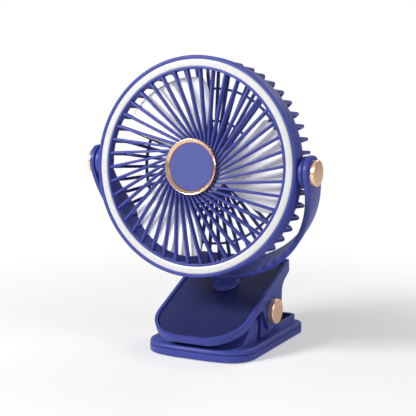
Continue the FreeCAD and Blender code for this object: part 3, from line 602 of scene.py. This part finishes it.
class FAN_OT_front_grille(bpy.types.Operator):
    """Build the front bezel, its swirled ribs and the seat of the hub"""
    bl_idname = "fan.front_grille"
    bl_label = "Front grille"

    def execute(self, context):
        sizes, colours = context.scene.fan_sizes, context.scene.fan_colours
        shell = shell_finish(colours)
        bezel = turned("front_bezel", bezel_profile(), HEAD, 256)
        dress(bezel, "head", "blue_plastic", shell, "front_grille")
        verts, faces = build_front_rib(sizes.rib_width, sizes.rib_depth, sizes.rib_offset)
        ribs = new_piece("front_ribs", verts, faces)
        repeated(ribs, HEAD, sizes.rib_count, sizes.rib_phase, shell)
        dress(ribs, "head", "blue_plastic", shell)
        seat_profile = rounded([(0.0, 9.8), (20.7, 9.8), (20.7, 14.4), (0.0, 14.4)], 0.3)
        seat = turned("hub_seat", seat_profile, HEAD, 128)
        dress(seat, "head", "blue_plastic", shell)
        return {"FINISHED"}


class FAN_OT_ring_light(bpy.types.Operator):
    """Build the opal ring over the lamps"""
    bl_idname = "fan.ring_light"
    bl_label = "Ring light"

    def execute(self, context):
        colours = context.scene.fan_colours
        profile = rounded([(72.1, 10.6), (77.4, 10.6), (77.4, 12.1), (76.2, 12.5), (73.3, 12.5),
                           (72.1, 12.1)], 0.5)
        ring = turned("opal_light_ring", profile, HEAD, 256)
        dress(ring, "head", "diffuser", finish_of("opal_plastic", opal_ring, tuple(colours.ring_light)),
              "light_diffuser")
        return {"FINISHED"}


class FAN_OT_hub(bpy.types.Operator):
    """Build the gilt ring and the lacquered disc in the middle of the grille"""
    bl_idname = "fan.hub"
    bl_label = "Hub"

    def execute(self, context):
        colours = context.scene.fan_colours
        ring_profile = rounded([(17.45, 14.4), (20.5, 14.4), (20.4, 17.1), (20.0, 17.6), (19.5, 17.5),
                                (17.45, 15.9)], 0.2, 3)
        ring = turned("hub_gilt_ring", ring_profile, HEAD, 192)
        gilt = finish_of("hub_gilt", spun_metal, tuple(colours.gilt), 0.2, HEAD)
        dress(ring, "head", "gilt", gilt, "hub_ring")
        disc_profile = [(0.0, 14.4), (17.4, 14.4), (17.4, 15.5), (17.1, 15.8), (12.0, 15.72), (6.0, 15.66),
                        (0.0, 15.64)]
        disc = turned("hub_lacquer_disc", disc_profile, HEAD, 128)
        lacquer = finish_of("hub_lacquer", spun_metal, tuple(colours.hub), 0.3, HEAD, 4200.0, 0.35, 0.2)
        dress(disc, "head", "blue_plastic", lacquer, "hub_disc")
        return {"FINISHED"}


class FAN_OT_rim(bpy.types.Operator):
    """Build the rim that joins the grilles, with its two pivot bosses"""
    bl_idname = "fan.rim"
    bl_label = "Rim"

    def execute(self, context):
        shell = shell_finish(context.scene.fan_colours)
        band_profile = rounded([(77.6, 6.0), (79.6, 6.0), (79.6, 5.4), (79.2, 5.1), (79.2, 4.5), (79.6, 4.2),
                                (79.5, -0.8), (78.7, -1.5), (77.6, -1.5)], 0.3, 3)
        boss_profile = rounded([(3.05, 78.6), (5.8, 78.6), (5.8, 80.25), (10.9, 80.25), (11.5, 81.2),
                                (11.5, 83.3), (10.8, 84.0), (3.05, 84.0)], 0.4, 3)
        parts = [turned("rim_band", band_profile, HEAD, 256)]
        for axle in (RIGHT_AXLE, LEFT_AXLE):
            parts.append(turned("boss", boss_profile, HEAD @ axle, 80))
        rim = join("rim_with_bosses", parts)
        dress(rim, "head", "blue_plastic", shell, "rim_housing")
        return {"FINISHED"}


def build_basket_rib(width):
    """One basket rib: back along the rim, round the corner and in to the motor plate."""
    outer, rear, corner_radius, plate_radius = 77.6, -21.4, 2.9, 23.4
    path = [(77.9, -2.4), (77.8, -10.0)]
    centre = (outer - corner_radius, rear + corner_radius)
    for step in range(7):
        angle = math.radians(90.0 * step / 6)
        path.append((centre[0] + corner_radius * math.cos(angle),
                     centre[1] - corner_radius * math.sin(angle)))
    for step in range(1, 7):
        share = step / 6
        path.append((centre[0] - (centre[0] - plate_radius) * share,
                     rear - 0.5 * math.sin(share * math.pi / 2)))
    stations = []
    for index, (radius, height) in enumerate(path):
        before = Vector(path[max(index - 1, 0)])
        after = Vector(path[min(index + 1, len(path) - 1)])
        along = (after - before).normalized()
        outward = Vector((-along.y, along.x))
        if outward.dot(Vector((1.0, -1.0))) < 0:
            outward = -outward
        half, deep = width / MM / 2, 1.35
        ring = []
        for corner in range(10):
            angle = 2 * math.pi * corner / 10
            out = deep * math.copysign(abs(math.cos(angle)) ** 0.7, math.cos(angle))
            side = half * math.copysign(abs(math.sin(angle)) ** 0.7, math.sin(angle))
            spot = Vector((radius, height)) + outward * (out - 0.15)
            ring.append((spot.x * MM, side * MM, spot.y * MM))
        stations.append(ring)
    return swept(stations)


class FAN_OT_rear_basket(bpy.types.Operator):
    """Build the deep rear basket: its ribs, its three rings and the motor plate"""
    bl_idname = "fan.rear_basket"
    bl_label = "Rear basket"

    def execute(self, context):
        sizes, colours = context.scene.fan_sizes, context.scene.fan_colours
        shell = shell_finish(colours)
        verts, faces = build_basket_rib(sizes.loop_width)
        ribs = new_piece("basket_ribs", verts, faces)
        repeated(ribs, HEAD, sizes.loop_count, sizes.loop_phase, shell)
        dress(ribs, "head", "blue_plastic", shell, "rear_grille")
        collar_profile = rounded([(76.6, -3.7), (79.2, -3.7), (79.2, -1.5), (76.6, -1.5)], 0.4, 3)
        plate_profile = rounded([(0.0, -22.9), (21.5, -22.9), (24.0, -22.1), (24.0, -19.6),
                                 (0.0, -19.6)], 0.5, 3)
        parts = [turned("collar", collar_profile, HEAD, 256)]
        for radius in (33.6, 57.6):
            inner, outer = radius - 0.9, radius + 0.9
            ring_profile = rounded([(inner, -22.9), (outer, -22.9), (outer, -20.4), (inner, -20.4)], 0.5, 3)
            parts.append(turned("ring", ring_profile, HEAD, 160))
        parts.append(turned("plate", plate_profile, HEAD, 128))
        rings = join("basket_rings", parts)
        dress(rings, "head", "blue_plastic", shell)
        screw_verts, screw_faces = build_screw(sizes.screw_radius)
        screws = new_piece("plate_screws", screw_verts, screw_faces)
        steel = steel_finish(colours)
        screw_place = Matrix.Translation((17.0 * MM, 0.0, -22.85 * MM)) @ Matrix.Rotation(math.pi, 4, "X")
        screws.data.transform(screw_place)
        repeated(screws, HEAD, 3, math.radians(30.0), steel)
        dress(screws, "head", "steel", steel)
        return {"FINISHED"}


def build_screw(radius):
    """A low crowned screw head with a six-lobed socket."""
    verts, faces = [], []
    sides = 36
    rows = [(1.0, 0.0), (0.98, 0.22), (0.8, 0.38), (0.55, 0.44), (0.44, 0.42), (0.40, -0.02)]
    for share, height in rows:
        for side in range(sides):
            angle = 2 * math.pi * side / sides
            lobes = 1.0 + (0.16 * math.cos(6 * angle) if share < 0.5 else 0.0)
            verts.append((radius * share * lobes * math.cos(angle), radius * share * lobes * math.sin(angle),
                          min(radius * height, 0.0003)))
    for row in range(len(rows) - 1):
        for side in range(sides):
            other = (side + 1) % sides
            faces.append((row * sides + side, row * sides + other, (row + 1) * sides + other,
                          (row + 1) * sides + side))
    faces.append(tuple((len(rows) - 1) * sides + side for side in range(sides)))
    faces.append(tuple(reversed(range(sides))))
    return verts, faces


def blade_sheet(turn):
    """The middle surface of one wide blade, twisted from the hub to the tip."""
    hub, tip, rows, columns = 18.8, 66.6, 16, 18
    verts, faces = [], []
    for row in range(rows + 1):
        share = row / rows
        radius = hub + (tip - hub) * share
        half = math.radians(35.0) * (0.82 + 0.36 * share - 0.30 * share ** 4)
        for column in range(columns + 1):
            part = column / columns * 2 - 1
            angle = turn + half * part + math.radians(6.0) * share
            trimmed = radius - (tip - hub) * 0.05 * share * part ** 4
            rise = 5.5 * part * (1.0 - 0.25 * share) + 1.6 * (1 - part * part) + 0.6
            verts.append((trimmed * math.cos(angle) * MM, trimmed * math.sin(angle) * MM, rise * MM))
    for row in range(rows):
        for column in range(columns):
            first = row * (columns + 1) + column
            faces.append((first, first + 1, first + columns + 2, first + columns + 1))
    return verts, faces


class FAN_OT_impeller(bpy.types.Operator):
    """Build the three wide blades and their hub"""
    bl_idname = "fan.impeller"
    bl_label = "Impeller"

    def execute(self, context):
        sizes, colours = context.scene.fan_sizes, context.scene.fan_colours
        pale = finish_of("blade_plastic", pale_blade_painted_glow, tuple(colours.blade))
        verts, faces = blade_sheet(0.0)
        blades = new_piece("impeller_blades", verts, faces)
        wall = blades.modifiers.new("wall", "SOLIDIFY")
        wall.thickness = sizes.blade_thickness
        wall.offset = 0.0
        edge = blades.modifiers.new("edge", "BEVEL")
        edge.width = sizes.blade_thickness * 0.4
        edge.segments = 3
        edge.limit_method = "ANGLE"
        edge.angle_limit = math.radians(50.0)
        applied(blades)
        lift = Matrix.Translation((0.0, 0.0, 0.5 * MM))
        repeated(blades, HEAD @ lift, sizes.blade_count, math.radians(-3.0), pale)
        dress(blades, "rotor", "blade_plastic", pale, "impeller")
        cup = turned("impeller_hub", rounded([(1.6, -5.4), (19.9, -5.4), (20.0, 6.0), (18.6, 7.6), (3.0, 7.9),
                                              (1.6, 7.9)], 0.6), HEAD, 128)
        dress(cup, "rotor", "blade_plastic", pale)
        return {"FINISHED"}


def yoke_ring(x, z, across, up, half_width, thickness):
    """One section of the yoke's band: a rounded bar across its path."""
    ring = []
    corner = 1.15  # rounding of the band's edges, in millimetres
    for sign_out, sign_side, start in ((1, 1, 0.0), (-1, 1, 90.0), (-1, -1, 180.0), (1, -1, 270.0)):
        for step in range(4):
            angle = math.radians(start + 90.0 * step / 3)
            out = sign_out * (thickness / 2 - corner) + corner * math.cos(angle)
            side = sign_side * max(half_width - corner, 0.02) + min(corner, half_width) * math.sin(angle)
            ring.append(((x + across * out) * MM, side * MM, (z + up * out) * MM))
    return ring


class FAN_OT_yoke(bpy.types.Operator):
    """Build the leaning yoke with round arm ends and its swivel neck"""
    bl_idname = "fan.yoke"
    bl_label = "Yoke"

    def execute(self, context):
        shell = shell_finish(context.scene.fan_colours)
        radius, drop, half = 86.3, 3.0, 12.0
        stations = []
        for step in range(15):
            angle = math.pi / 2 * (1 - step / 14)
            height = 0.45 + half * math.sin(angle)
            stations.append(yoke_ring(radius, height, 1.0, 0.0, max(half * math.cos(angle), 0.25), 4.0))
        for step in range(1, 96):
            angle = -math.pi * step / 96
            stations.append(yoke_ring(radius * math.cos(angle), -drop + radius * math.sin(angle),
                                      math.cos(angle), math.sin(angle), half, 4.0))
        for step in range(14, -1, -1):
            angle = math.pi / 2 * (1 - step / 14)
            height = 0.45 + half * math.sin(angle)
            stations.append(yoke_ring(-radius, height, -1.0, 0.0, max(half * math.cos(angle), 0.25), 4.0))
        verts, faces = swept(stations)
        band = new_piece("band", verts, faces, SWIVEL)
        neck = turned("neck", rounded([(4.0, -88.0), (12.0, -88.9), (9.9, -91.6), (9.4, -94.0), (9.4, -100.6),
                                       (10.0, -102.6), (11.0, -103.85), (4.0, -103.85)], 0.8, 4), SWIVEL, 96)
        yoke = join("yoke_band_and_neck", [band, neck])
        dress(yoke, "fork", "blue_plastic", shell, "yoke")
        return {"FINISHED"}


def cap_profile(low, high, radius):
    """A gilt cap: a plain flat face with a small rounded edge."""
    return rounded([(0.0, low), (radius, low), (radius, high - 0.5), (radius - 0.5, high), (0.0, high)],
                   0.35, 4)


class FAN_OT_caps(bpy.types.Operator):
    """Build the four round gilt caps of the yoke's pivots and the clamp's pin"""
    bl_idname = "fan.caps"
    bl_label = "Gilt caps"

    def execute(self, context):
        colours = context.scene.fan_colours
        for side, axle in (("right", RIGHT_AXLE), ("left", LEFT_AXLE)):
            place = HEAD @ axle
            cap = turned("pivot_gilt_" + side, cap_profile(88.3, 91.9, 9.4), place, 96)
            gilt = finish_of("pivot_gilt_" + side, spun_metal, tuple(colours.gilt), 0.24, place, metallic=0.7)
            dress(cap, "fork", "gilt", gilt, "pivot_cap_" + side)
            place = Matrix.Translation(PIN) @ axle
            cap = turned("clamp_gilt_" + side, cap_profile(38.3, 42.9, 9.7), place, 96)
            gilt = finish_of("clamp_gilt_" + side, spun_metal, tuple(colours.gilt), 0.24, place, metallic=0.7)
            dress(cap, "base", "gilt", gilt, "clamp_cap_" + side)
        return {"FINISHED"}


class FAN_OT_jaws(bpy.types.Operator):
    """Round the edges of both jaws, the sunk panel and the rear cover"""
    bl_idname = "fan.jaws"
    bl_label = "Jaws"

    def execute(self, context):
        sizes, colours = context.scene.fan_sizes, context.scene.fan_colours
        shell = shell_finish(colours)
        for name, source, body, slot, material in (
                ("lower_jaw_moulding", "lower_jaw", "base", "blue_plastic", shell),
                ("upper_jaw_moulding", "upper_jaw", "clamp", "blue_plastic", shell),
                ("sunk_top_panel", "top_panel", "clamp", "panel_plastic", panel_finish(colours)),
                ("rear_cover_moulding", "rear_cover", "clamp", "blue_plastic", shell)):
            width = sizes.edge_round if source != "rear_cover" else sizes.edge_round * 0.4
            dress(refined(name, source, width), body, slot, material, source)
        return {"FINISHED"}


class FAN_OT_small_parts(bpy.types.Operator):
    """Give the pins, bolts, boards, cells, pads, buttons and the spring their finishes"""
    bl_idname = "fan.small_parts"
    bl_label = "Small parts"

    def execute(self, context):
        colours = context.scene.fan_colours
        steel = steel_finish(colours)
        rubber = finish_of("grip_rubber", matt_rubber, tuple(colours.rubber))
        board = finish_of("board_lacquer", circuit_board, tuple(colours.board), (0.30, 0.24, 0.08))
        wrap = finish_of("cell_wrap", moulded_plastic, tuple(colours.wrap), 0.25, 0.02)
        lens = finish_of("lens_plastic", moulded_plastic, (0.55, 0.85, 0.60), 0.12, 0.01)
        button = finish_of("button_plastic", moulded_plastic, tuple(colours.panel), 0.38, 0.06)
        for name in ("clamp_pin", "swivel_bolt", "swivel_nut", "swivel_washer", "pivot_bolt_right",
                     "pivot_bolt_left", "motor_case", "motor_shaft", "charging_inlet", "clamp_spring"):
            dress_node(name, steel)
        for name in ("base_foot_pad", "upper_grip_pad"):
            dress_node(name, rubber)
        for name in ("control_board", "light_board"):
            dress_node(name, board)
        dress_node("battery_cells", wrap)
        dress_node("indicator_lens", lens)
        for name in ("power_button", "light_button"):
            dress_node(name, button)
        return {"FINISHED"}


# ---------------------------------------------------------------- the stage

def area_light(name, spot, aim, size, power):
    lamp = bpy.data.lights.new(name, "AREA")
    lamp.shape = "DISK"
    lamp.size = size
    lamp.energy = power
    obj = bpy.data.objects.new(name, lamp)
    obj.location = spot
    obj.rotation_euler = (Vector(aim) - Vector(spot)).to_track_quat("-Z", "Y").to_euler()
    bpy.context.scene.collection.objects.link(obj)


class FAN_OT_stage(bpy.types.Operator):
    """Set the pale floor, the soft studio light and the camera"""
    bl_idname = "fan.stage"
    bl_label = "Stage"

    def execute(self, context):
        scene = context.scene
        scene.view_settings.view_transform = "Standard"
        half = 6.0
        mesh = bpy.data.meshes.new("studio_floor")
        mesh.from_pydata([(-half, -half, 0.0), (half, -half, 0.0), (half, half, 0.0), (-half, half, 0.0)], [],
                         [(0, 1, 2, 3)])
        floor = bpy.data.objects.new("studio_floor", mesh)
        scene.collection.objects.link(floor)
        paper, tree, shader = blank_material("floor_paper", (0.93, 0.93, 0.93), 0.9)
        shader.inputs["Specular IOR Level"].default_value = 0.1
        output = tree.nodes["Material Output"]
        rays = node(tree, "ShaderNodeLightPath")
        glow = node(tree, "ShaderNodeEmission", Strength=1.0)
        glow.inputs["Color"].default_value = (1.0, 1.0, 1.0, 1.0)
        place = own_coordinates(tree)
        away = node(tree, "ShaderNodeVectorMath", operation="LENGTH")
        tree.links.new(place, away.inputs[0])
        fade = node(tree, "ShaderNodeMapRange", interpolation_type="SMOOTHSTEP")
        fade.inputs["From Min"].default_value = 0.10
        fade.inputs["From Max"].default_value = 0.42
        fade.inputs["To Min"].default_value = 0.35
        fade.inputs["To Max"].default_value = 1.0
        tree.links.new(away.outputs["Value"], fade.inputs["Value"])
        part = node(tree, "ShaderNodeMath", operation="MULTIPLY")
        tree.links.new(fade.outputs["Result"], part.inputs[1])
        tree.links.new(rays.outputs["Is Camera Ray"], part.inputs[0])
        blend = node(tree, "ShaderNodeMixShader")
        tree.links.new(part.outputs[0], blend.inputs["Fac"])
        tree.links.new(shader.outputs["BSDF"], blend.inputs[1])
        tree.links.new(glow.outputs["Emission"], blend.inputs[2])
        tree.links.new(blend.outputs["Shader"], output.inputs["Surface"])
        floor.data.materials.append(paper)

        world = bpy.data.worlds.new("studio_air")
        scene.world = world
        world.use_nodes = True
        tree = world.node_tree
        back = tree.nodes["Background"]
        back.inputs["Color"].default_value = (1.0, 1.0, 1.0, 1.0)
        rays = node(tree, "ShaderNodeLightPath")
        clear = node(tree, "ShaderNodeMath", operation="MAXIMUM")
        tree.links.new(rays.outputs["Is Camera Ray"], clear.inputs[0])
        tree.links.new(rays.outputs["Is Transmission Ray"], clear.inputs[1])
        gloss = node(tree, "ShaderNodeMath", operation="MULTIPLY")
        gloss.inputs[1].default_value = 0.35
        tree.links.new(rays.outputs["Is Glossy Ray"], gloss.inputs[0])
        seen = node(tree, "ShaderNodeMath", operation="MAXIMUM")
        tree.links.new(clear.outputs[0], seen.inputs[0])
        tree.links.new(gloss.outputs[0], seen.inputs[1])
        level = node(tree, "ShaderNodeMapRange")
        level.inputs["To Min"].default_value = 0.10
        level.inputs["To Max"].default_value = 1.0
        tree.links.new(seen.outputs[0], level.inputs["Value"])
        tree.links.new(level.outputs["Result"], back.inputs["Strength"])

        centre = (0.0, -0.02, 0.12)
        area_light("key_light", (-0.60, -0.92, 0.72), centre, 0.40, 18.5)
        area_light("side_light", (1.1, -0.25, 0.55), centre, 0.5, 4.2)
        area_light("rim_light", (0.3, 0.9, 0.9), centre, 0.6, 4.2)

        lens = bpy.data.cameras.new("photo_camera")
        lens.sensor_width = 36.0
        lens.lens = 101.25
        camera = bpy.data.objects.new("photo_camera", lens)
        # The camera's own axes, fitted to the photograph
        right = Vector((0.89148, 0.45306, 0.0))
        up = Vector((-0.06820, 0.13419, 0.98861))
        back_way = Vector((0.44790, -0.88132, 0.15053))
        turn = Matrix((right, up, back_way)).transposed().to_4x4()
        camera.matrix_world = Matrix.Translation((0.3883, -0.7929, 0.2394)) @ turn
        scene.collection.objects.link(camera)
        scene.camera = camera
        return {"FINISHED"}


PIECE_OPERATORS = (FAN_OT_front_grille, FAN_OT_ring_light, FAN_OT_hub, FAN_OT_rim, FAN_OT_rear_basket,
                   FAN_OT_impeller, FAN_OT_yoke, FAN_OT_caps, FAN_OT_jaws, FAN_OT_small_parts, FAN_OT_stage)


class FAN_PT_pieces(bpy.types.Panel):
    """The fan's sizes, colours and pieces"""
    bl_idname = "FAN_PT_pieces"
    bl_label = "Clip-on fan"
    bl_space_type = "VIEW_3D"
    bl_region_type = "UI"
    bl_category = "Fan"

    def draw(self, context):
        column = self.layout.column(align=True)
        for group in (context.scene.fan_sizes, context.scene.fan_colours):
            for name in group.__annotations__:
                column.prop(group, name)
        for operator in PIECE_OPERATORS:
            self.layout.operator(operator.bl_idname)


CLASSES = (FanSizes, FanColours) + PIECE_OPERATORS + (FAN_PT_pieces,)


def register():
    for item in CLASSES:
        bpy.utils.register_class(item)
    bpy.types.Scene.fan_sizes = PointerProperty(type=FanSizes)
    bpy.types.Scene.fan_colours = PointerProperty(type=FanColours)


def unregister():
    del bpy.types.Scene.fan_colours
    del bpy.types.Scene.fan_sizes
    for item in reversed(CLASSES):
        bpy.utils.unregister_class(item)


def main():
    register()
    bpy.ops.fan.front_grille()
    bpy.ops.fan.ring_light()
    bpy.ops.fan.hub()
    bpy.ops.fan.rim()
    bpy.ops.fan.rear_basket()
    bpy.ops.fan.impeller()
    bpy.ops.fan.yoke()
    bpy.ops.fan.caps()
    bpy.ops.fan.jaws()
    bpy.ops.fan.small_parts()
    bpy.ops.fan.stage()


if __name__ == "__main__":
    main()
